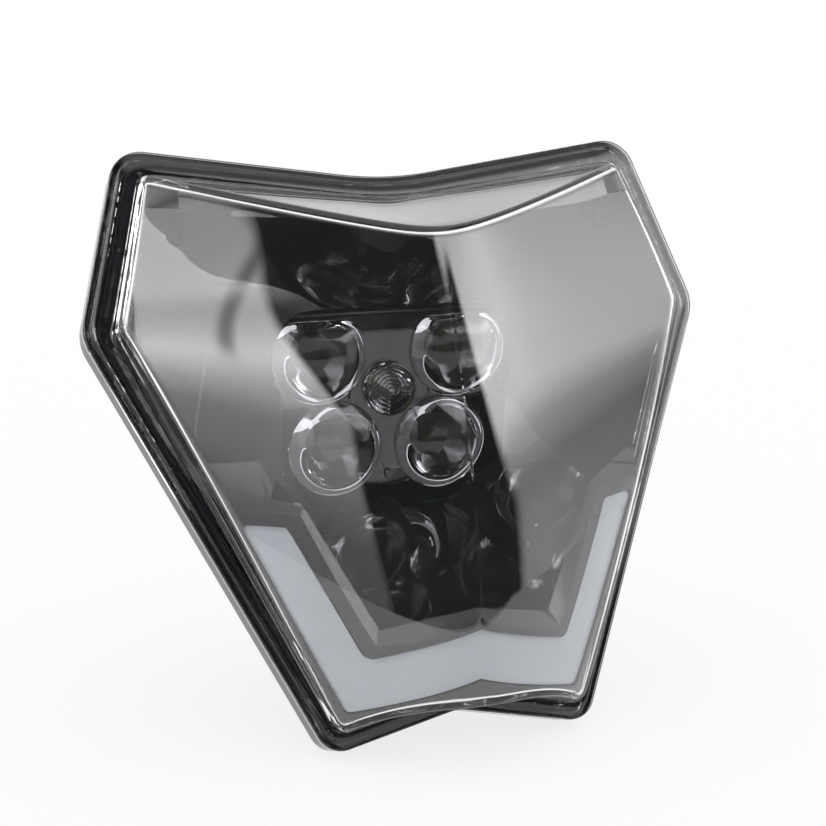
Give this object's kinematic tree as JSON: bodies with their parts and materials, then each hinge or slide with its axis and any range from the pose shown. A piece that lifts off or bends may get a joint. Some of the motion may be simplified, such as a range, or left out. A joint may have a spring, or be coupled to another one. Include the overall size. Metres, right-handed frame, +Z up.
{
  "type": "motorcycle headlight",
  "caption": "LED headlight with a clear dome lens, a gloss black bezel, collimator lenses, a daytime light strip and a finned heat sink.",
  "frame": {"origin": "centre of the bore of the aiming lug's sleeve, at the bottom of the lamp, half-way along the sleeve", "axes": "+Z up; +Y to the rear, along the aiming bore and along the optical axis against the light; +X to the right as seen from the front, across the lamp"},
  "size_m": [0.1982, 0.1277, 0.1714],
  "materials": {
    "clear_lens": "clear, hard-coated polycarbonate",
    "sealant": "matt sealant",
    "housing": "moulded, semi-gloss black",
    "bezel": "high-gloss black",
    "opal": "opal, translucent",
    "optic": "clear, polished",
    "board": "solder mask",
    "metal_board": "white solder mask on aluminium",
    "led": "phosphor",
    "pad": "soft pad",
    "cast_aluminium": "die-cast, blasted",
    "screws": "zinc-plated",
    "components": "moulded",
    "cans": "drawn can",
    "header": "moulded",
    "gasket": "matt",
    "steel": "zinc-plated",
    "brass": "turned"
  },
  "bodies": {
    "root": {"outer_lens": "clear_lens", "lens_seal": "sealant", "rear_housing": "housing", "inner_bezel": "bezel", "bezel_screws": "screws", "drl_diffuser": "opal", "drl_board": "board", "drl_leds": "led", "drl_board_screws": "screws", "collimator_cluster": "optic", "optic_screws": "screws", "led_board": "metal_board", "main_leds": "led", "position_led": "led", "thermal_pad": "pad", "heat_sink": "cast_aluminium", "heat_sink_gasket": "gasket", "heat_sink_screws": "screws", "driver_board": "board", "driver_screws": "screws", "inductor": "components", "capacitors": "cans", "driver_chips": "components", "wire_header": "header", "cable_grommet": "gasket", "breather_cap": "gasket", "aim_sleeve": "steel", "left_pivot_insert": "brass", "right_pivot_insert": "brass"}
  },
  "joints": []
}
